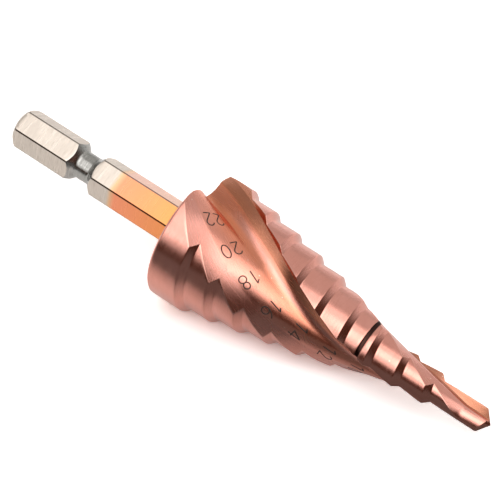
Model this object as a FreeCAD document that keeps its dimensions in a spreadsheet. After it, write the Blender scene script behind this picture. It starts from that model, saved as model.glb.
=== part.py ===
import FreeCAD, Part
import math
import os
import Sketcher

# Step drill for sheet metal, ground from one bar of high-speed steel: a hexagonal shank with a
# ball groove, a cone of ten steps from 22 mm down to 4 mm, two right-hand helical flutes and a
# ground point. It is modelled about its own axis, the tip towards +Z and z = 0 at the rear face
# of the widest step, and then laid down on its side as it rests on a bench. All in millimetres.

App = FreeCAD
doc = App.newDocument("step_drill")

# Driving dimensions. The flute's section is drawn with the lip on the sketch's x axis. Its corners
# and radii are shares of its size, which is flute_size at the rear face and less towards the tip.
# Its hollow flattens along flute_settle, and the shares named drift and growth say how far.
SIZES = (
    ("across_flats", 6.35),        # hexagon of the shank, a quarter of an inch
    ("shank_length", 33.8),        # from the rear face of the steps to the end of the shank
    ("shank_chamfer", 0.8),
    ("hex_turn", 56.1),            # turn of a shank corner from the start of the first lip, degrees
    ("ball_groove_place", 20.15),  # from the rear face of the steps to the middle of the groove
    ("ball_groove_width", 5.3),    # at the corners of the hexagon
    ("ball_groove_neck", 4.7),     # diameter
    ("ball_groove_fillet", 0.8),
    ("rear_diameter", 22.0),
    ("step_count", 10),
    ("step_drop", 2.0),            # from one diameter to the next
    ("step_pitch", 5.0),
    ("rear_step_length", 5.8),
    ("rear_bevel", 0.3),
    ("pilot_reach", 54.7),         # from the rear face of the steps to the shoulder of the point
    ("point_angle", 105.0),        # between opposite sides of the point, degrees
    ("lead", 98.0),                # length in which the flutes turn once
    ("flute_size", 11.6),          # size of the flute's section at the rear face
    ("flute_reach", 55.5),         # length in which the section would shrink to nothing
    ("web_size", 0.8),             # least size of the section, near the point
    ("flute_settle", 15.0),
    ("lip_share", 0.95),
    ("ridge_across_share", 0.8),   # where the lip's straight face meets the hollow of the flute
    ("ridge_height_share", 0.13),
    ("hollow_radius_share", 0.36),
    ("hollow_growth_share", 0.09),
    ("throat_across_share", 0.475),  # where the hollow meets the wall
    ("throat_drift_share", 0.1),
    ("throat_height_share", 0.32),
    ("wall_radius_share", 0.6),
    ("wall_across_share", 0.376),
    ("wall_height_share", 0.82),
    ("heel_radius_share", 2.37),
    ("heel_end_share", 0.4),
    ("cutter_share", 2.9),         # the flute's section ends this far outside the steel
    ("flute_overrun", 2.0),        # the flute starts this far behind the steps
    ("station_gap", 5.0),          # from one section of the flute to the next
    ("flute_count", 2),
    ("ring_step", 6),              # steps from the widest one down to the one with the ring
    ("ring_place", 34.3),          # middle of the turned ring
    ("ring_width", 0.65),
    ("ring_depth", 0.35),
    ("rest_roll", 121.5),          # turn about its own axis in which it lies, degrees
    ("rest_dip", 5.31),            # how far the tip dips below the level, degrees
)
sheet = doc.addObject("Spreadsheet::Sheet", "Sizes")
for row, (name, value) in enumerate(SIZES, start=1):
    sheet.set("A%d" % row, name)
    sheet.set("B%d" % row, str(value))
    sheet.setAlias("B%d" % row, name)
doc.recompute()

body = doc.addObject("PartDesign::Body", "step_drill")
body.Label = "step_drill"


def origin_item(role):
    """The plane or axis of the body's own origin that has this role."""
    return next(item for item in body.Origin.OriginFeatures if item.Role == role)


def new_sketch(name, role):
    """An empty sketch on one of the body's own planes."""
    sketch = body.newObject("Sketcher::SketchObject", name)
    sketch.AttachmentSupport = [(origin_item(role), "")]
    sketch.MapMode = "FlatFace"
    return sketch


def value_of(text):
    """The number that an expression of the sheet's sizes gives now."""
    return float(sheet.evalExpression(text))


def tie(sketch, name, constraint, text):
    """Adds a constraint under a name of its own and ties its number to the sheet's sizes."""
    sketch.renameConstraint(sketch.addConstraint(constraint), name)
    sketch.setExpression("Constraints." + name, text)


def bulge(first, last, radius, side):
    """The middle of the arc between two points, to the left (1) or right (-1) of the way."""
    chord = last - first
    half = chord.Length / 2
    sagitta = radius - math.sqrt(radius ** 2 - half ** 2)
    left = App.Vector(-chord.y, chord.x, 0) / chord.Length
    return (first + last) / 2 + left * side * sagitta


def draw(sketch, corners):
    """Draws a closed outline. Each corner is a name and two expressions for its place, and where
    an arc leads on to the next corner, also an expression for its radius and the arc's side."""
    points = [App.Vector(value_of(corner[1]), value_of(corner[2]), 0) for corner in corners]
    joints = []
    for index, corner in enumerate(corners):
        first, last = points[index], points[(index + 1) % len(points)]
        forward = True
        if len(corner) == 3:
            sketch.addGeometry(Part.LineSegment(first, last), False)
        else:
            middle = bulge(first, last, value_of(corner[3]), corner[4])
            sketch.addGeometry(Part.ArcOfCircle(first, middle, last), False)
            start = sketch.getPoint(index, 1)
            forward = start.distanceToPoint(first) < start.distanceToPoint(last)
        joints.append((1, 2) if forward else (2, 1))
    for index, corner in enumerate(corners):
        following = (index + 1) % len(corners)
        start, end = joints[index]
        sketch.addConstraint(
            Sketcher.Constraint("Coincident", index, end, following, joints[following][0]))
        tie(sketch, corner[0] + "_across",
            Sketcher.Constraint("DistanceX", -1, 1, index, start, points[index].x), corner[1])
        tie(sketch, corner[0] + "_along",
            Sketcher.Constraint("DistanceY", -1, 1, index, start, points[index].y), corner[2])
        if len(corner) > 3:
            tie(sketch, corner[0] + "_radius",
                Sketcher.Constraint("Radius", index, value_of(corner[3])), corner[3])


def turned(kind, name, corners):
    """A solid or a cut of revolution about the drill's axis, from an outline beside that axis."""
    sketch = new_sketch(name + "_outline", "XZ_Plane")
    draw(sketch, corners)
    feature = body.newObject("PartDesign::" + kind, name)
    feature.Profile = sketch
    feature.ReferenceAxis = (sketch, ["V_Axis"])
    feature.Angle = 360
    sketch.Visibility = False
    return feature


# The stepped cone. Each step is a short cylinder, and a bevel at 45 degrees leads up to the next.
last_step = int(sheet.step_count) - 1
outline = [
    ("centre_rear", "0", "0"),
    ("rear_face", "Sizes.rear_diameter / 2 - Sizes.rear_bevel", "0"),
    ("rear_rim", "Sizes.rear_diameter / 2", "Sizes.rear_bevel"),
]
for step in range(last_step):
    radius = "(Sizes.rear_diameter - %d * Sizes.step_drop) / 2" % step
    front = "Sizes.rear_step_length + %d * Sizes.step_pitch" % step
    outline.append(("front_%d" % step, radius, front))
    outline.append(("bevel_%d" % step,
                    radius + " - Sizes.step_drop / 2", front + " + Sizes.step_drop / 2"))
pilot_radius = "(Sizes.rear_diameter - %d * Sizes.step_drop) / 2" % last_step
outline.append(("shoulder", pilot_radius, "Sizes.pilot_reach"))
POINT_HEIGHT = "%s / tan(Sizes.point_angle / 2 * 1deg)" % pilot_radius
outline.append(("tip", "0", "Sizes.pilot_reach + " + POINT_HEIGHT))
turned("Revolution", "stepped_cone", outline)

# The hexagonal shank, whose corners lie on one circle
SIDES = 6
CORNER_RADIUS = "Sizes.across_flats / 2 / cos(180deg / %d)" % SIDES
hexagon = []
for corner in range(SIDES):
    turn = "(Sizes.hex_turn + %d) * 1deg" % (360 * corner // SIDES)
    hexagon.append(("corner_%d" % corner,
                    "%s * cos(%s)" % (CORNER_RADIUS, turn), "%s * sin(%s)" % (CORNER_RADIUS, turn)))
hexagon_sketch = new_sketch("shank_hexagon", "XY_Plane")
draw(hexagon_sketch, hexagon)
shank = body.newObject("PartDesign::Pad", "shank")
shank.Profile = hexagon_sketch
shank.Reversed = True
shank.setExpression("Length", "Sizes.shank_length")
hexagon_sketch.Visibility = False

# The chamfer at the end of the shank, turned off its corners
turned("Groove", "shank_end", [
    ("start", CORNER_RADIUS + " - Sizes.shank_chamfer", "-Sizes.shank_length"),
    ("outside", CORNER_RADIUS + " + Sizes.shank_chamfer", "-Sizes.shank_length"),
    ("runout", CORNER_RADIUS + " + Sizes.shank_chamfer", "-Sizes.shank_length + 2 * Sizes.shank_chamfer"),
])

# The ball groove, which the balls of a quick-change chuck drop into: a neck between two flanks
# at 45 degrees that run out through the hexagon's corners
GROOVE_TOP = "Sizes.across_flats"
GROOVE_RISE = "(Sizes.across_flats - %s)" % CORNER_RADIUS
NECK = "Sizes.ball_groove_neck / 2"
NECK_HALF = "(Sizes.ball_groove_width / 2 - (%s - %s))" % (CORNER_RADIUS, NECK)
MOUTH_HALF = "(Sizes.ball_groove_width / 2 + %s)" % GROOVE_RISE
turned("Groove", "ball_groove", [
    ("neck_rear", NECK, "-Sizes.ball_groove_place - " + NECK_HALF),
    ("mouth_rear", GROOVE_TOP, "-Sizes.ball_groove_place - " + MOUTH_HALF),
    ("mouth_front", GROOVE_TOP, "-Sizes.ball_groove_place + " + MOUTH_HALF),
    ("neck_front", NECK, "-Sizes.ball_groove_place + " + NECK_HALF),
])
doc.recompute()

# The fillets between the neck and its flanks
neck_radius = value_of(NECK)
neck_edges = [
    "Edge%d" % number for number, edge in enumerate(body.Shape.Edges, start=1)
    if edge.Curve.TypeId == "Part::GeomCircle" and abs(edge.Curve.Radius - neck_radius) < 1e-6
]
grooved = body.Tip
neck_fillet = body.newObject("PartDesign::Fillet", "neck_fillet")
neck_fillet.Base = (grooved, neck_edges)
neck_fillet.setExpression("Radius", "Sizes.ball_groove_fillet")

# The turned ring on the step of 10 mm
RING_FLOOR = "((Sizes.rear_diameter - Sizes.ring_step * Sizes.step_drop) / 2 - Sizes.ring_depth)"
RING_REAR = "Sizes.ring_place - Sizes.ring_width / 2"
RING_FRONT = "Sizes.ring_place + Sizes.ring_width / 2"
turned("Groove", "ring", [
    ("floor_rear", RING_FLOOR, RING_REAR),
    ("open_rear", RING_FLOOR + " + 2 * Sizes.ring_depth", RING_REAR),
    ("open_front", RING_FLOOR + " + 2 * Sizes.ring_depth", RING_FRONT),
    ("floor_front", RING_FLOOR, RING_FRONT),
])
doc.recompute()


def flute_section(station):
    """One cross-section of the flute's cutter: the lip's straight face, the hollow, the wall and
    the long heel, closed outside the steel. It turns, shrinks and flattens along the drill."""
    place = "(%d * Sizes.station_gap - Sizes.flute_overrun)" % station
    size = "max(Sizes.web_size; Sizes.flute_size * (1 - %s / Sizes.flute_reach))" % place
    settled = "min(1; %s / Sizes.flute_settle)" % place
    reach = "Sizes.cutter_share * " + size
    sketch = new_sketch("flute_section_%d" % station, "XY_Plane")
    sketch.setExpression("AttachmentOffset.Base.z", place)
    sketch.setExpression(
        "AttachmentOffset.Rotation.Yaw", "mod(360 * %s / Sizes.lead + 180; 360) - 180" % place)
    draw(sketch, [
        ("outside", reach, "0"),
        ("lip", "Sizes.lip_share * " + size, "0"),
        ("ridge", "Sizes.ridge_across_share * " + size, "Sizes.ridge_height_share * " + size,
         "(Sizes.hollow_radius_share + Sizes.hollow_growth_share * %s) * %s" % (settled, size), 1),
        ("throat", "(Sizes.throat_across_share + Sizes.throat_drift_share * %s) * %s" % (settled, size),
         "Sizes.throat_height_share * " + size,
         "Sizes.wall_radius_share * " + size, -1),
        ("wall", "Sizes.wall_across_share * " + size, "Sizes.wall_height_share * " + size,
         "Sizes.heel_radius_share * " + size, -1),
        ("heel_end", "-" + reach, "Sizes.heel_end_share * " + size),
        ("far", "-" + reach, reach),
        ("near", reach, reach),
    ])
    sketch.Visibility = False
    return sketch


# The flutes: one cut through sections along the drill, and the same again half a turn on
tip_place = value_of(outline[-1][2])
stations = 2 + math.ceil((tip_place + sheet.flute_overrun) / sheet.station_gap)
sections = [flute_section(station) for station in range(stations)]
doc.recompute()
solid_blank = body.Shape.Volume
flute = body.newObject("PartDesign::SubtractiveLoft", "flute")
flute.Profile = sections[0]
flute.Sections = sections[1:]
flutes = body.newObject("PartDesign::PolarPattern", "flutes")
flutes.Originals = [flute]
flutes.Axis = (origin_item("Z_Axis"), [""])
flutes.Angle = 360
flutes.setExpression("Occurrences", "Sizes.flute_count")
body.Tip = flutes
doc.recompute()

# It lies on its side, the tip towards +X and dipping a little, rolled as it comes to rest, and
# its origin is on the bench under the middle of its box.
lie_down = App.Rotation(App.Vector(0, 1, 0), 90 + sheet.rest_dip)
roll = App.Rotation(App.Vector(0, 0, 1), sheet.rest_roll)
body.Placement = App.Placement(App.Vector(0, 0, 0), lie_down.multiply(roll))
box = body.Shape.optimalBoundingBox(False, False)
body.Placement.Base = App.Vector(-box.Center.x, -box.Center.y, -box.ZMin)
doc.recompute()

failed = [item.Name for item in doc.Objects if {"Invalid", "Error"} & set(item.State)]
if failed:
    raise RuntimeError("these objects failed: " + ", ".join(failed))
shape = body.Shape
if shape.isNull() or not shape.isValid() or len(shape.Solids) != 1:
    raise RuntimeError("the drill is not one valid solid")
if not shape.Volume < solid_blank:
    raise RuntimeError("the flutes removed nothing")

os.makedirs("parts", exist_ok=True)
shape.exportStep("parts/%s.step" % body.Label)
print("volume %.1f, box %.2f x %.2f x %.2f" % (shape.Volume, box.XLength, box.YLength, box.ZLength))
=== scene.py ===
import math

import bpy
import numpy as np
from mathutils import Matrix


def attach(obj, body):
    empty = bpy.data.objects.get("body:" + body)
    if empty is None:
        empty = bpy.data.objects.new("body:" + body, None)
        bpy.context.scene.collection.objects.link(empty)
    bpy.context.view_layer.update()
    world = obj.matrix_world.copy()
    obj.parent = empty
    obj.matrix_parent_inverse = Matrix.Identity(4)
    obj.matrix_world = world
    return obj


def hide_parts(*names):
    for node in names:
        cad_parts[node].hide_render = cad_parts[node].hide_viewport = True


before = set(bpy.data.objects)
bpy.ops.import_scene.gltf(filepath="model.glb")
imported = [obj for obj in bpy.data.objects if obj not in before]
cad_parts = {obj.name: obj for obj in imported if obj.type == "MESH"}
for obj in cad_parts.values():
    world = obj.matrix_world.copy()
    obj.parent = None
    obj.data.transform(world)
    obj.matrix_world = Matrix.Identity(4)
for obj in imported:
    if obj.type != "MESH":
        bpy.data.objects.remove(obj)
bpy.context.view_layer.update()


# The cutting body
# The stepped cone with its two flutes and its point, turned and then ground from high-speed steel
# and coated copper pink. Each step's corner falls back behind its lip, which gives it clearance.

REAR_RADIUS, REAR_STEP, STEP_PITCH = 11.0, 5.8, 5.0
RING_PLACE, RING_WIDTH, RING_DEPTH = 34.3, 0.65, 0.35
FLUTE_SIZE, FLUTE_REACH, LEAST_SIZE = 11.6, 55.5, 0.8
POINT_START, POINT_END = (54.7, 2.0), (56.2, 0.045)
LEAD = 98.0
RELIEF = 0.73 / 90
SOFTENED = 0.05
DIP, ROLL, REAR_CENTRE = 5.31, 121.5, (-11.0366, 0.0, 10.4238)
# Points and radii of the flute's section, in shares of its size
LIP_FACE, RIDGE = np.array([0.95, 0.0]), np.array([0.8, 0.13])
WALL_TOP, WALL_RADIUS = np.array([0.376, 0.82]), 0.6
HEEL, HEEL_RADIUS = np.array([-1.047, -1.078]), 2.371
HEEL_START = math.atan2(WALL_TOP[1] - HEEL[1], WALL_TOP[0] - HEEL[0])


def section_size(z):
    """The size of the flute's section in mm: 11.6 (1 - z / 55.5), and never under 0.8."""
    return np.maximum(LEAST_SIZE, FLUTE_SIZE * (1 - z / FLUTE_REACH))


def crease(z):
    """Where the hollow meets the wall, in shares of the section's size: it drifts outwards over
    the first 15 mm, (0.475, 0.32) + (0.195, 0.08) min(1, z / 15)."""
    settled = np.minimum(1, z / 15)
    return np.stack([0.475 + 0.195 * settled, 0.32 + 0.08 * settled], -1)


def arc(start, end, radius, side, t):
    """Points at the shares t of the arc from start to end: centre c = middle of the chord minus
    side * left * sqrt(radius^2 - half^2), then c + radius (cos a, sin a) with a running evenly."""
    chord = end - start
    length = np.hypot(chord[..., 0], chord[..., 1])[..., None]
    left = np.stack([-chord[..., 1], chord[..., 0]], -1) / length
    centre = (start + end) / 2 - left * side * np.sqrt(radius ** 2 - length ** 2 / 4)
    first = np.arctan2(start[..., 1] - centre[..., 1], start[..., 0] - centre[..., 0])
    last = np.arctan2(end[..., 1] - centre[..., 1], end[..., 0] - centre[..., 0])
    turn = (last - first + np.pi) % (2 * np.pi) - np.pi
    angle = first + turn * t
    return centre + radius * np.stack([np.cos(angle), np.sin(angle)], -1)


def wind(flat, z):
    """A section's points turned as the flutes turn: (x, y) by the angle 360 z / 98 degrees."""
    twist = 2 * np.pi * z / LEAD
    x = flat[..., 0] * np.cos(twist) - flat[..., 1] * np.sin(twist)
    y = flat[..., 0] * np.sin(twist) + flat[..., 1] * np.cos(twist)
    return np.stack([x, y, z + 0 * x], -1)


def lay_down(points):
    """Millimetres about the drill's own axis to metres where it lies: p -> Ry(90 + dip) Rz(roll) p
    + centre of the rear face. The tip is along +z before, and along +X and a little down after."""
    dip, roll = np.radians(90 + DIP), np.radians(ROLL)
    tilt = np.array([[np.cos(dip), 0, np.sin(dip)], [0, 1, 0], [-np.sin(dip), 0, np.cos(dip)]])
    turn = np.array([[np.cos(roll), -np.sin(roll), 0], [np.sin(roll), np.cos(roll), 0], [0, 0, 1]])
    return (points @ (tilt @ turn).T + REAR_CENTRE) / 1000


def surface(name, points, grain, masks):
    """A mesh over a grid of points (rows, columns, 3) whose columns close to a ring. grain is a
    UV (across, along) the cutter's marks in mm, and masks are named numbers at each point."""
    rows, columns = points.shape[:2]
    index = np.arange(rows * columns).reshape(rows, columns)
    following = np.roll(index, -1, 1)
    quads = np.stack([index[:-1], following[:-1], following[1:], index[1:]], -1).reshape(-1, 4)
    mesh = bpy.data.meshes.new(name)
    mesh.from_pydata(lay_down(points.reshape(-1, 3)), [], quads)
    layer = mesh.uv_layers.new(name="grain")
    corner = np.empty(len(mesh.loops), dtype=np.int32)
    mesh.loops.foreach_get("vertex_index", corner)
    layer.data.foreach_set("uv", grain.reshape(-1, 2)[corner].ravel())
    for label, values in masks.items():
        attribute = mesh.attributes.new(label, "FLOAT", "POINT")
        attribute.data.foreach_set("value", values.ravel())
    mesh.polygons.foreach_set("use_smooth", np.ones(len(quads), dtype=bool))
    mesh.set_sharp_from_angle(angle=math.radians(24))
    piece = bpy.data.objects.new(name, mesh)
    bpy.context.scene.collection.objects.link(piece)
    return piece


def profile():
    """The turned outline as rows of (z, radius, share of the relief), its corners softened."""
    corners = [(0.0, REAR_RADIUS - 0.3), (0.3, REAR_RADIUS)]
    for step in range(9):
        front, radius = REAR_STEP + STEP_PITCH * step, REAR_RADIUS - step
        if step == 6:
            start, end = RING_PLACE - RING_WIDTH / 2, RING_PLACE + RING_WIDTH / 2
            floor = radius - RING_DEPTH
            corners += [(start, radius), (start, floor), (end, floor), (end, radius)]
        corners += [(front, radius), (front + 1.0, radius - 1.0)]
    corners = np.array(corners + [POINT_START, POINT_END])
    rows = [corners[0]]
    for before, here, after in zip(corners[:-2], corners[1:-1], corners[2:]):
        back, on = before - here, after - here
        cut = min(0.09, 0.35 * np.hypot(*back), 0.35 * np.hypot(*on))
        back, on = back / np.hypot(*back), on / np.hypot(*on)
        rows += [here + back * cut, here + (back + on) * cut * 0.3, here + on * cut]
    rows = np.array(rows + [corners[-1]])
    gaps = np.maximum(1, np.ceil(np.hypot(*np.diff(rows, axis=0).T) / 0.36)).astype(int)
    outline = [rows[:1]]
    for first, last, count in zip(rows[:-1], rows[1:], gaps):
        outline.append(first + (last - first) * (np.arange(1, count + 1) / count)[:, None])
    z, radius = np.concatenate(outline).T
    share = np.clip((z - 0.4) / 4, 0, 1) * np.clip(np.abs(z - RING_PLACE) / 1.4 - 0.3, 0, 1)
    return z, radius, share * np.clip(radius / 2, 0, 1)


def cutting_body():
    """Half the section at each row: lip, hollow, wall, heel, then the land up to the next lip,
    placed at z = row - relief * angle behind the lip and turned by 360 z / lead."""
    z, radius, share = profile()
    towards = math.atan2(HEEL[1], HEEL[0]) + 2 * np.pi
    behind = np.full(len(z), 90.0)
    for _ in range(12):
        q = radius / section_size(z - share * RELIEF * behind)
        cosine = (q ** 2 - HEEL @ HEEL - HEEL_RADIUS ** 2) / (2 * HEEL_RADIUS * np.hypot(*HEEL))
        heel_turn = np.maximum(HEEL_START, towards - np.arccos(np.clip(cosine, -1, 1)))
        end = HEEL + HEEL_RADIUS * np.stack([np.cos(heel_turn), np.sin(heel_turn)], -1)
        behind = 180 - np.degrees(np.arctan2(end[:, 1], end[:, 0]))
    softened = SOFTENED * np.clip(radius / 3, 0.1, 1)
    lip = np.stack([(radius - softened) / section_size(z), 0 * z], -1)
    heel_turn = np.maximum(HEEL_START, heel_turn - softened / section_size(z) / HEEL_RADIUS)

    face, hollow, wall, slope, land = 5, 16, 14, 22, 34
    flute = face + hollow + wall + slope
    drop = np.zeros(flute)
    drop[face:] = np.linspace(0, 1, flute - face)
    depth = z[:, None] - (share * RELIEF * behind)[:, None] * drop
    throat = crease(depth)
    hollow_radius = (0.36 + 0.09 * np.minimum(1, depth / 15))[..., None]
    shape = np.empty((len(z), flute, 2))
    shape[:, :3] = lip[:, None] + (LIP_FACE - lip[:, None]) * np.linspace(0, 1, 3)[:, None]
    shape[:, 3:face] = LIP_FACE + (RIDGE - LIP_FACE) * np.array([0.5, 0.96])[:, None]
    t = np.linspace(0.04, 1, hollow)
    part = slice(face, face + hollow)
    shape[:, part] = arc(RIDGE + 0 * throat[:, part], throat[:, part], hollow_radius[:, part], 1, t)
    t = np.linspace(0, 1, wall + 1)[1:]
    part = slice(face + hollow, face + hollow + wall)
    shape[:, part] = arc(throat[:, part], WALL_TOP + 0 * throat[:, part], WALL_RADIUS, -1, t)
    turn = HEEL_START + (heel_turn - HEEL_START)[:, None] * np.linspace(0, 1, slope + 1)[1:]
    part = slice(face + hollow + wall, None)
    shape[:, part] = HEEL + HEEL_RADIUS * np.stack([np.cos(turn), np.sin(turn)], -1)
    shape *= section_size(depth)[..., None]
    far = np.hypot(shape[..., 0], shape[..., 1])
    shape *= (np.minimum(far, radius[:, None]) / far)[..., None]

    t = np.linspace(0, 1, land)
    edge = np.degrees(softened / radius)
    angle = (behind - edge)[:, None] * (1 - t) + edge[:, None] * t
    down = z[:, None] - (share * RELIEF)[:, None] * angle
    half = np.radians(180 - angle)
    ring = radius[:, None, None] * np.stack([np.cos(half), np.sin(half)], -1)

    flat = np.concatenate([shape, ring], 1)
    depth = np.concatenate([depth, down], 1)
    points = wind(flat, depth)

    step = np.hypot(*np.moveaxis(np.diff(flat, axis=1), -1, 0))
    across = np.concatenate([np.zeros((len(z), 1)), np.cumsum(step, 1)], 1)
    along = depth * math.sqrt(1 + (2 * np.pi * 6 / LEAD) ** 2)
    grain = np.stack([across, along], -1)
    grain[:, flute:] = np.stack([depth, across], -1)[:, flute:] + 40

    # Masks: the flute, a painted reflection that turns its hollow orange, a painted shade in a dark
    # band at its crease, painted shade on the lip face and on the rake near the tip, the worn
    # edges, which are also painted paler as a highlight, and the ring
    column = np.arange(flute + land)
    ground = np.ones(len(z))[:, None] * (column < flute)
    painted_hollow_reflection = np.interp(column, face + np.array([-5, -1, 2, 5, 8, 11, 15, 18, 24, 32]),
                     [0.2, 0.9, 0.7, 0.0, 0.2, 0.9, 1.0, 0.9, 0.4, 0.0])
    rear = np.interp(column, face + np.array([0, 2, 14, 24]), [0.0, 0.7, 0.7, 0.0])
    painted_hollow_reflection = np.maximum(painted_hollow_reflection, rear * np.clip((10 - depth) / 5, 0, 1))
    painted_hollow_reflection = painted_hollow_reflection * np.interp(depth, [6, 14, 24, 46], [1.0, 0.45, 0.6, 0.0])
    painted_crease_shade = np.interp(column, face + hollow * np.array([0.3, 0.6, 0.95, 1.15]), [0.0, 0.7, 1.0, 0.0])
    painted_crease_shade = painted_crease_shade * np.clip((21 - depth) / 8, 0, 1)
    painted_lip_shade = (column < face) * 0.8 + 0 * depth
    rake = np.interp(column, face + np.array([0, 2, 8]), [1.0, 0.9, 0.0])
    painted_lip_shade = np.maximum(painted_lip_shade, rake * np.clip((depth - 43) / 8, 0, 1))
    wear_and_edge_highlight = np.ones(len(z))[:, None] * np.isin(column, [0, flute - 1, flute, flute + land - 1])
    in_ring = (np.abs(z - RING_PLACE) < 0.34)[:, None] * (1 - ground)
    masks = {"ground": ground, "painted_hollow_reflection": painted_hollow_reflection, "painted_crease_shade": painted_crease_shade, "painted_lip_shade": painted_lip_shade, "wear_and_edge_highlight": wear_and_edge_highlight,
             "in_ring": in_ring}

    points = np.concatenate([points, points * (-1, -1, 1)], 1)
    grain = np.concatenate([grain, grain + (77, 13)], 1)
    masks = {label: np.concatenate([values, values], 1) for label, values in masks.items()}

    # The flat rear face, from its rim in to a circle inside the shank
    share = np.array([0.0, 0.2, 0.4, 0.6, 0.8, 0.99])[:, None, None]
    rim = points[:1]
    hub = rim / np.hypot(rim[..., 0], rim[..., 1])[..., None] * 3.0
    cap = hub + (rim - hub) * share
    points = np.concatenate([cap, points], 0)
    polar = np.arctan2(rim[..., 1], rim[..., 0])
    spread = np.hypot(cap[..., 0], cap[..., 1])
    grain = np.concatenate([np.stack([0.4 * spread, 3 * polar + 0 * spread], -1), grain], 0)
    for label, values in masks.items():
        masks[label] = np.concatenate([np.zeros(spread.shape), values], 0)
    return points, grain, masks


body = surface("cutting_body", *cutting_body())


def marks_group():
    """The marks a grinding wheel or a lathe tool leaves: noise drawn out along the second axis of
    the UV. Fine is the scratches, Broad the slow change from one to the next, both 0 to 1."""
    group = bpy.data.node_groups.new("cutter_marks", "ShaderNodeTree")
    group.interface.new_socket("Vector", in_out="INPUT", socket_type="NodeSocketVector")
    group.interface.new_socket("Fine", in_out="OUTPUT", socket_type="NodeSocketFloat")
    group.interface.new_socket("Broad", in_out="OUTPUT", socket_type="NodeSocketFloat")
    nodes, links = group.nodes, group.links
    start, end = nodes.new("NodeGroupInput"), nodes.new("NodeGroupOutput")
    for label, scale, detail in (("Fine", (9.0, 0.45, 1.0), 4.0), ("Broad", (1.6, 0.12, 1.0), 3.0)):
        stretch = nodes.new("ShaderNodeMapping")
        stretch.inputs["Scale"].default_value = scale
        links.new(start.outputs["Vector"], stretch.inputs["Vector"])
        noise = nodes.new("ShaderNodeTexNoise")
        noise.inputs["Scale"].default_value = 1.0
        noise.inputs["Detail"].default_value = detail
        noise.inputs["Roughness"].default_value = 0.7
        links.new(stretch.outputs["Vector"], noise.inputs["Vector"])
        spread = nodes.new("ShaderNodeMapRange")
        spread.inputs["From Min"].default_value = 0.3
        spread.inputs["From Max"].default_value = 0.7
        links.new(noise.outputs["Fac"], spread.inputs["Value"])
        links.new(spread.outputs["Result"], end.inputs[label])
    return group


cutter_marks = marks_group()


def add_marks(nodes, links):
    """The cutter's marks laid along the mesh's own grain. Gives the sockets Fine and Broad."""
    place = nodes.new("ShaderNodeUVMap")
    place.uv_map = "grain"
    marks = nodes.new("ShaderNodeGroup")
    marks.node_tree = cutter_marks
    links.new(place.outputs["UV"], marks.inputs["Vector"])
    return marks.outputs["Fine"], marks.outputs["Broad"]


def blend_colours(nodes, links, factor, first, second):
    """A mix of two colours, each an RGBA tuple or a socket, by a socket that runs from 0 to 1."""
    mix = nodes.new("ShaderNodeMix")
    mix.data_type = "RGBA"
    links.new(factor, mix.inputs["Factor"])
    for label, colour in (("A", first), ("B", second)):
        if isinstance(colour, tuple):
            mix.inputs[label].default_value = colour
        else:
            links.new(colour, mix.inputs[label])
    return mix.outputs["Result"]


def spread_between(nodes, links, source, low, high, start, end):
    """A socket's values from low to high laid out from start to end, held at either side."""
    spread = nodes.new("ShaderNodeMapRange")
    for label, value in (("From Min", low), ("From Max", high), ("To Min", start), ("To Max", end)):
        spread.inputs[label].default_value = value
    links.new(source, spread.inputs["Value"])
    return spread.outputs["Result"]


def mask(nodes, name):
    """The socket of a number that the mesh carries at each point."""
    attribute = nodes.new("ShaderNodeAttribute")
    attribute.attribute_name = name
    return attribute.outputs["Fac"]


def scratch_bump(nodes, links, fine, strength, shader):
    """The fine marks as bumps a hundredth of a millimetre high."""
    bump = nodes.new("ShaderNodeBump")
    bump.inputs["Strength"].default_value = strength
    bump.inputs["Distance"].default_value = 0.00001
    links.new(fine, bump.inputs["Height"])
    links.new(bump.outputs["Normal"], shader.inputs["Normal"])


coated = bpy.data.materials.new("coated_steel")
coated.use_nodes = True
nodes, links = coated.node_tree.nodes, coated.node_tree.links
shader = nodes["Principled BSDF"]
shader.inputs["Metallic"].default_value = 1.0
fine, broad = add_marks(nodes, links)
where = nodes.new("ShaderNodeTexCoord")
cloud = nodes.new("ShaderNodeTexNoise")
cloud.inputs["Scale"].default_value = 210.0
cloud.inputs["Detail"].default_value = 4.0
links.new(where.outputs["Object"], cloud.inputs["Vector"])
patch = spread_between(nodes, links, cloud.outputs["Fac"], 0.35, 0.65, 0.0, 1.0)
pink = blend_colours(nodes, links, patch, (0.745, 0.33, 0.26, 1), (0.79, 0.37, 0.30, 1))
orange = blend_colours(nodes, links, patch, (0.91, 0.27, 0.125, 1), (0.96, 0.31, 0.155, 1))
# Painted reflection: the hollow is painted orange where the coating would mirror itself
colour = blend_colours(nodes, links, mask(nodes, "painted_hollow_reflection"), pink, orange)
# Painted shade: a darker brown band in the hollow along the crease, fading out between 13 and 21 mm
painted_crease_shade = spread_between(nodes, links, mask(nodes, "painted_crease_shade"), 0.0, 1.0, 0.0, 0.55)
colour = blend_colours(nodes, links, painted_crease_shade, colour, (0.58, 0.20, 0.10, 1))
# Painted shade: the lip face, and the rake from 43 mm on, are painted a darker brown
painted_lip_shade = spread_between(nodes, links, mask(nodes, "painted_lip_shade"), 0.0, 1.0, 0.0, 0.9)
colour = blend_colours(nodes, links, painted_lip_shade, colour, (0.56, 0.23, 0.13, 1))
streak = spread_between(nodes, links, fine, 0.55, 1.0, 0.0, 0.5)
colour = blend_colours(nodes, links, streak, colour, (0.62, 0.25, 0.18, 1))
dots = nodes.new("ShaderNodeTexVoronoi")
dots.inputs["Scale"].default_value = 600.0
links.new(where.outputs["Object"], dots.inputs["Vector"])
speck = spread_between(nodes, links, dots.outputs["Distance"], 0.055, 0.04, 0.0, 0.8)
colour = blend_colours(nodes, links, speck, colour, (0.98, 0.80, 0.70, 1))
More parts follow.
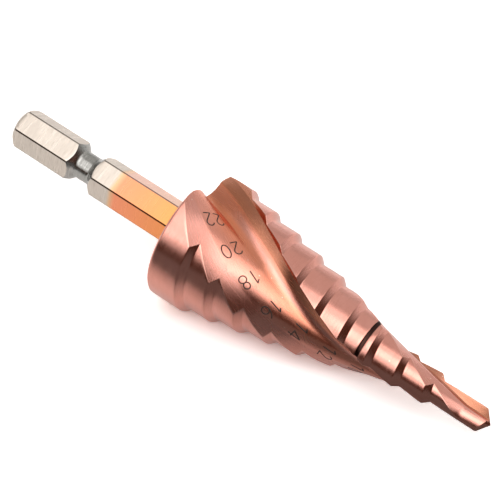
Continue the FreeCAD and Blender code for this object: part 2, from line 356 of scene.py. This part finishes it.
# Wear and a painted highlight: the lip, heel and land edges are painted a paler pink
bare = spread_between(nodes, links, mask(nodes, "wear_and_edge_highlight"), 0.6, 1.0, 0.0, 0.2)
colour = blend_colours(nodes, links, bare, colour, (0.92, 0.66, 0.56, 1))
colour = blend_colours(nodes, links, mask(nodes, "in_ring"), colour, (0.05, 0.022, 0.018, 1))
links.new(colour, shader.inputs["Base Color"])
gloss = spread_between(nodes, links, broad, 0.0, 1.0, 0.17, 0.27)
rougher = nodes.new("ShaderNodeMath")
rougher.operation = "MULTIPLY_ADD"
rougher.inputs[1].default_value = 0.03
links.new(mask(nodes, "ground"), rougher.inputs[0])
links.new(gloss, rougher.inputs[2])
links.new(rougher.outputs["Value"], shader.inputs["Roughness"])
scratch_bump(nodes, links, fine, 0.5, shader)
body.data.materials.append(coated)
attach(body, "root")
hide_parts("step_drill")


# The shank
# A quarter-inch hexagonal bar with a chamfered end and a turned groove for a chuck's balls. The
# coating covers its front part; behind that it is bare steel with the grinding marks left on it.

def shank_surface():
    """Columns round the rounded hexagon h(a), rows between the turned end, chamfer, groove and
    flats: where a turned radius would pass the hexagon's, the row sits where the two are equal."""
    apothem, corner, hex_turn = 3.175, 3.60, 56.1
    offset = np.concatenate([np.linspace(-27.2, 27.2, 15), [28.2, 29.4, 30.6, 31.8]])
    angle = np.radians(np.concatenate([hex_turn + 30 + 60 * side + offset for side in range(6)]))
    within = np.radians(np.tile(offset, 6))
    within = (within + math.pi / 6) % (math.pi / 3) - math.pi / 6
    hexagon = np.minimum(apothem / np.cos(within), corner)
    column = np.ones(len(angle))

    neck, fillet = 2.35, 0.8
    middle, half = -20.15, 2.65
    full = apothem / math.cos(math.pi / 6)
    foot = half - (full - neck)
    tangent = fillet * math.tan(math.pi / 8)
    turned = np.linspace(math.pi / 4, 0, 7)
    fillet_z = -foot + tangent - fillet * np.sin(turned)
    fillet_r = neck + fillet * (1 - np.cos(turned))

    end, edge, end_radius = -33.8, full - 0.8, 2.87
    rows = [(end * column, radius * column) for radius in (0.05, 1.2, 2.3, 2.8)]
    rows.append(((end + 0.03) * column, end_radius * column))
    for share in (0.5, 0.97):
        rise = (hexagon - edge) * share
        rows.append((end + 0.03 + rise, edge + rise))
    chamfer_end = end + 0.05 + hexagon - edge
    groove_rear = middle - half + (full - hexagon)
    for share in np.linspace(0, 1, 24):
        rows.append((chamfer_end + (groove_rear - 0.05 - chamfer_end) * share, hexagon))
    for share in (0.03, 0.35, 0.7):
        run = middle + fillet_z[0] - groove_rear
        rows.append((groove_rear + run * share, hexagon + (fillet_r[0] - hexagon) * share))
    for z, r in zip(fillet_z, fillet_r):
        rows.append(((middle + z) * column, r * column))
    for z in np.linspace(-0.6, 0.6, 4):
        rows.append(((middle + z * (foot - tangent)) * column, neck * column))
    for z, r in zip(-fillet_z[::-1], fillet_r[::-1]):
        rows.append(((middle + z) * column, r * column))
    groove_front = middle + half - (full - hexagon)
    for share in (0.3, 0.65, 0.97):
        run = groove_front - middle + fillet_z[0]
        height = fillet_r[0] + (hexagon - fillet_r[0]) * share
        rows.append((groove_front - run * (1 - share), height))
    for share in np.linspace(0, 1, 40):
        rows.append((groove_front + 0.05 + (0.35 - groove_front) * share, hexagon))
    z = np.array([row[0] for row in rows])
    radius = np.array([row[1] for row in rows])
    points = np.stack([radius * np.cos(angle), radius * np.sin(angle), z], -1)
    grain = np.stack([z - np.maximum(0, end_radius - radius), 3.4 * angle + 0 * z], -1)
    painted_corner_shade = np.clip((np.degrees(np.abs(within)) - 27.3) / 1.2, 0, 1) * (radius > 3.0)
    # Painted shade: the corners are painted dark, the one towards the camera darkest, and the
    # colour is paler on the far flats
    facing = np.abs(np.degrees(angle) - hex_turn - 60) < 5
    painted_corner_shade = painted_corner_shade * np.where(facing, 1.0, 0.7)
    paler_far_flats = np.repeat([0, 0, 0, 0, 0.3, 1], 19) + 0 * z
    in_groove = (np.abs(z - middle) < half + 0.5) * (radius < hexagon - 0.004) * 1.0
    masks = {"place": z, "painted_corner_shade": painted_corner_shade, "in_groove": in_groove, "paler_far_flats": paler_far_flats}
    return points, grain, masks


shank = surface("hex_shank", *shank_surface())
steel = bpy.data.materials.new("shank_steel")
steel.use_nodes = True
nodes, links = steel.node_tree.nodes, steel.node_tree.links
shader = nodes["Principled BSDF"]
shader.inputs["Metallic"].default_value = 1.0
fine, broad = add_marks(nodes, links)
along = mask(nodes, "place")
bare = blend_colours(nodes, links, broad, (0.73, 0.65, 0.57, 1), (0.64, 0.57, 0.50, 1))
scratch = spread_between(nodes, links, fine, 0.5, 1.0, 0.0, 0.7)
bare = blend_colours(nodes, links, scratch, bare, (0.46, 0.39, 0.32, 1))
near = spread_between(nodes, links, along, -13.0, -1.0, 0.0, 1.0)
film = blend_colours(nodes, links, near, (0.97, 0.345, 0.19, 1), (0.97, 0.375, 0.115, 1))
# The coating's colour is blended paler on the two far flats
thin = spread_between(nodes, links, mask(nodes, "paler_far_flats"), 0.0, 1.0, 0.0, 0.65)
film = blend_colours(nodes, links, thin, film, (0.86, 0.70, 0.62, 1))
fringe = spread_between(nodes, links, along, -13.7, -12.7, 0.0, 1.0)
film = blend_colours(nodes, links, fringe, (0.80, 0.52, 0.30, 1), film)
edge = spread_between(nodes, links, along, -14.2, -13.6, 0.0, 1.0)
colour = blend_colours(nodes, links, edge, bare, film)
# Painted shade: dark lines along the hexagon's corners
colour = blend_colours(nodes, links, mask(nodes, "painted_corner_shade"), colour, (0.03, 0.014, 0.007, 1))
turned = blend_colours(nodes, links, fine, (0.52, 0.51, 0.49, 1), (0.27, 0.27, 0.25, 1))
colour = blend_colours(nodes, links, mask(nodes, "in_groove"), colour, turned)
links.new(colour, shader.inputs["Base Color"])
gloss = spread_between(nodes, links, broad, 0.0, 1.0, 0.24, 0.36)
smoother = nodes.new("ShaderNodeMath")
smoother.operation = "MULTIPLY_ADD"
smoother.inputs[1].default_value = -0.08
links.new(mask(nodes, "in_groove"), smoother.inputs[0])
links.new(gloss, smoother.inputs[2])
links.new(smoother.outputs["Value"], shader.inputs["Roughness"])
scratch_bump(nodes, links, fine, 0.4, shader)
shank.data.materials.append(steel)
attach(shank, "root")
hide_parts("step_drill")


# The size numbers
# The diameters of the steps, burnt by a laser into the heel side of one flute in thin dark lines.
# Their tops point to the tip along the flute.

def heel_side(z, share):
    """The flute's wall and heel at z, a share of the section's size away from the crease."""
    start = crease(z)
    chord = np.hypot(*np.moveaxis(WALL_TOP - start, -1, 0))
    length = 2 * WALL_RADIUS * np.arcsin(chord / 2 / WALL_RADIUS)
    wall = arc(start, WALL_TOP + 0 * start, WALL_RADIUS, -1, np.minimum(share / length, 1))
    turn = HEEL_START + np.maximum(share - length, 0) / HEEL_RADIUS
    slope = HEEL + HEEL_RADIUS * np.stack([np.cos(turn), np.sin(turn)], -1)
    flat = np.where((share < length)[..., None], wall, slope) * section_size(z)[..., None]
    return wind(flat, z)


def bow(across, along, wide, tall, start, end, count=18):
    """Part of an ellipse about (across, along), from one angle to another, in degrees."""
    angle = np.radians(np.linspace(start, end, count))
    return np.stack([across + wide * np.cos(angle), along + tall * np.sin(angle)], -1)


def line(*corners):
    """A run through the corners with a point about every 0.1 mm."""
    corners = np.array(corners, float)
    runs = []
    for first, last in zip(corners[:-1], corners[1:]):
        count = int(np.hypot(*(last - first)) / 0.1) + 2
        runs.append(first + (last - first) * np.linspace(0, 1, count)[:, None])
    return np.concatenate([runs[0]] + [run[1:] for run in runs[1:]])


DIGITS = {
    "0": [bow(0.6, 1.1, 0.58, 1.08, 90, 450, 32)],
    "1": [line((0.3, 1.75), (0.75, 2.2), (0.75, 0.0))],
    "2": [np.concatenate([bow(0.6, 1.6, 0.56, 0.58, 165, -35),
                          line((0.95, 1.15), (0.05, 0.0), (1.2, 0.0))])],
    "4": [line((0.9, 0.0), (0.9, 2.2), (0.0, 0.65), (1.25, 0.65))],
    "6": [bow(0.6, 0.62, 0.58, 0.6, 150, 510, 28), bow(1.25, 0.75, 1.22, 1.45, 180, 110)],
    "8": [bow(0.6, 1.66, 0.5, 0.52, -90, 270, 26), bow(0.6, 0.57, 0.58, 0.56, 90, 450, 28)],
}


def stroke(path, middle, centre, width):
    """A low ridge along a path on the heel side. A step of (across, along) there is a step of
    -across sin a + along cos a in z and of across / (size cos a) round the section."""
    slope = np.gradient(path, axis=0)
    side = np.stack([-slope[:, 1], slope[:, 0]], -1) / np.hypot(*slope.T)[:, None] * width / 2
    shape = path[:, None] + side[:, None] * np.array([-1, -0.8, 0, 0.8, 1])[:, None]
    size = section_size(middle)
    tilt = math.atan2(2 * np.pi * 0.83 * size, LEAD)
    z = middle + shape[..., 1] * math.cos(tilt) - shape[..., 0] * math.sin(tilt)
    share = centre + shape[..., 0] / (size * math.cos(tilt))
    here, step = heel_side(z, share), 0.001
    normal = np.cross(heel_side(z + step, share) - here, heel_side(z, share - step) - here)
    normal /= np.linalg.norm(normal, axis=-1)[..., None]
    return here + normal * np.array([-0.02, 0.012, 0.016, 0.012, -0.02])[:, None]


def size_numbers():
    """All strokes of the numbers as one list of points and faces. Each number has its place: the
    height of its middle above the rear face and how far it is from the crease."""
    points, faces, start = [], [], 0
    places = {"22": (5.0, 0.32), "20": (10.0, 0.30), "18": (14.8, 0.31), "16": (19.8, 0.33),
              "14": (24.7, 0.27), "12": (29.8, 0.30), "10": (34.5, 0.37)}
    for number, (middle, centre) in places.items():
        for order, digit in enumerate(number):
            for path in DIGITS[digit]:
                ridge = stroke(path - (1.45 - 1.75 * order, 1.1), middle, centre, 0.21)
                index = start + np.arange(ridge.shape[0] * 5).reshape(-1, 5)
                corners = [index[:-1, :-1], index[:-1, 1:], index[1:, 1:], index[1:, :-1]]
                points.append(ridge.reshape(-1, 3))
                faces.append(np.stack(corners, -1).reshape(-1, 4))
                start += ridge.shape[0] * 5
    return np.concatenate(points), np.concatenate(faces)


points, faces = size_numbers()
mesh = bpy.data.meshes.new("size_numbers")
mesh.from_pydata(lay_down(points), [], faces)
mesh.polygons.foreach_set("use_smooth", np.ones(len(faces), dtype=bool))
numbers = bpy.data.objects.new("size_numbers", mesh)
bpy.context.scene.collection.objects.link(numbers)
burnt = bpy.data.materials.new("laser_mark")
burnt.use_nodes = True
nodes, links = burnt.node_tree.nodes, burnt.node_tree.links
shader = nodes["Principled BSDF"]
shader.inputs["Metallic"].default_value = 0.3
shader.inputs["Roughness"].default_value = 0.6
where = nodes.new("ShaderNodeTexCoord")
grit = nodes.new("ShaderNodeTexNoise")
grit.inputs["Scale"].default_value = 3000.0
links.new(where.outputs["Object"], grit.inputs["Vector"])
soot, scorch = (0.02, 0.012, 0.01, 1), (0.07, 0.045, 0.035, 1)
colour = blend_colours(nodes, links, grit.outputs["Fac"], soot, scorch)
links.new(colour, shader.inputs["Base Color"])
mesh.materials.append(burnt)
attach(numbers, "root")


# The floor
# A white sheet. Mirrored in the steel it is bright under and behind the drill, and it turns dark a
# short way in front of it.

floor_mesh = bpy.data.meshes.new("floor")
floor_mesh.from_pydata([(-3, -3, 0), (3, -3, 0), (3, 3, 0), (-3, 3, 0)], [], [(0, 1, 2, 3)])
floor = bpy.data.objects.new("floor", floor_mesh)
bpy.context.scene.collection.objects.link(floor)
white = bpy.data.materials.new("white_floor")
white.use_nodes = True
nodes, links = white.node_tree.nodes, white.node_tree.links
shader = nodes["Principled BSDF"]
shader.inputs["Roughness"].default_value = 0.9
shader.inputs["Specular IOR Level"].default_value = 0.0
path = nodes.new("ShaderNodeLightPath")
where = nodes.new("ShaderNodeTexCoord")
ahead = nodes.new("ShaderNodeVectorMath")
ahead.operation = "DOT_PRODUCT"
ahead.inputs[1].default_value = (0.5, -0.86, 0.0)
links.new(where.outputs["Object"], ahead.inputs[0])
front = spread_between(nodes, links, ahead.outputs["Value"], 0.008, 0.022, 0.95, 0.16)
back = spread_between(nodes, links, ahead.outputs["Value"], -0.03, -0.09, 0.0, 0.35)
mirrored = nodes.new("ShaderNodeMath")
mirrored.operation = "ADD"
links.new(front, mirrored.inputs[0])
links.new(back, mirrored.inputs[1])
seen = nodes.new("ShaderNodeMix")
seen.inputs["A"].default_value = 0.8
links.new(path.outputs["Is Glossy Ray"], seen.inputs["Factor"])
links.new(mirrored.outputs["Value"], seen.inputs["B"])
brightness = nodes.new("ShaderNodeMath")
brightness.operation = "MULTIPLY_ADD"
brightness.inputs[1].default_value = 1.0
links.new(path.outputs["Is Camera Ray"], brightness.inputs[0])
links.new(seen.outputs["Result"], brightness.inputs[2])
links.new(brightness.outputs["Value"], shader.inputs["Base Color"])
floor_mesh.materials.append(white)


# The lights
# One large round soft light above the camera with a brighter middle and a wider spill, and three
# pale cards beside and behind the drill, in a room that is dark in front and grey behind.

def place_light(name, direction, distance, spread, brightness):
    """A round light aimed at the drill. Its radius is spread times its distance, and brightness is
    what a mirror would show of it."""
    aim = np.array(direction) / np.linalg.norm(direction)
    light = bpy.data.lights.new(name, "AREA")
    light.shape = "DISK"
    light.size = 2 * spread * distance
    light.energy = brightness * (math.pi * spread * distance) ** 2
    lamp = bpy.data.objects.new(name, light)
    lamp.location = aim * distance
    lamp.rotation_euler = (math.asin(-aim[1]), math.atan2(aim[0], aim[2]), 0)
    bpy.context.scene.collection.objects.link(lamp)


place_light("softbox", (-0.045, -0.495, 0.868), 0.60, 0.66, 1.15)
place_light("softbox_middle", (0.10, -0.52, 0.85), 0.585, 0.32, 1.3)
place_light("softbox_spill", (-0.045, -0.495, 0.868), 0.61, 0.88, 0.25)
place_light("card_right", (0.49, 0.06, 0.87), 0.62, 0.36, 0.85)
place_light("card_left", (-0.46, -0.76, 0.46), 0.63, 0.24, 0.85)
place_light("card_behind", (0.10, 0.55, 0.83), 0.64, 0.70, 0.32)

world = bpy.data.worlds.new("studio")
world.use_nodes = True
nodes, links = world.node_tree.nodes, world.node_tree.links
where = nodes.new("ShaderNodeTexCoord")
behind = nodes.new("ShaderNodeVectorMath")
behind.operation = "DOT_PRODUCT"
behind.inputs[1].default_value = (-0.52, 0.85, 0.0)
links.new(where.outputs["Generated"], behind.inputs[0])
split = nodes.new("ShaderNodeSeparateXYZ")
links.new(where.outputs["Generated"], split.inputs["Vector"])
far = spread_between(nodes, links, behind.outputs["Value"], -0.3, 0.4, 0.0, 1.0)
low = spread_between(nodes, links, split.outputs["Z"], 0.5, 0.1, 0.0, 1.0)
room = blend_colours(nodes, links, far, (0.075, 0.038, 0.024, 1), (0.40, 0.38, 0.36, 1))
sweep = nodes.new("ShaderNodeMath")
sweep.operation = "MULTIPLY"
links.new(far, sweep.inputs[0])
links.new(low, sweep.inputs[1])
room = blend_colours(nodes, links, sweep.outputs["Value"], room, (0.85, 0.85, 0.85, 1))
links.new(room, nodes["Background"].inputs["Color"])
bpy.context.scene.world = world


# The camera
# Above the point of the drill and to its right, with a long lens.

camera_data = bpy.data.cameras.new("camera")
camera_data.lens = 144.0
camera_data.sensor_width = 36.0
camera_data.clip_start = 0.01
camera = bpy.data.objects.new("camera", camera_data)
camera.location = (0.114585, -0.187448, 0.228283)
camera.rotation_euler = (math.radians(45.512), math.radians(-4.104), math.radians(35.378))
bpy.context.scene.collection.objects.link(camera)
bpy.context.scene.camera = camera
bpy.context.scene.view_settings.view_transform = "Standard"
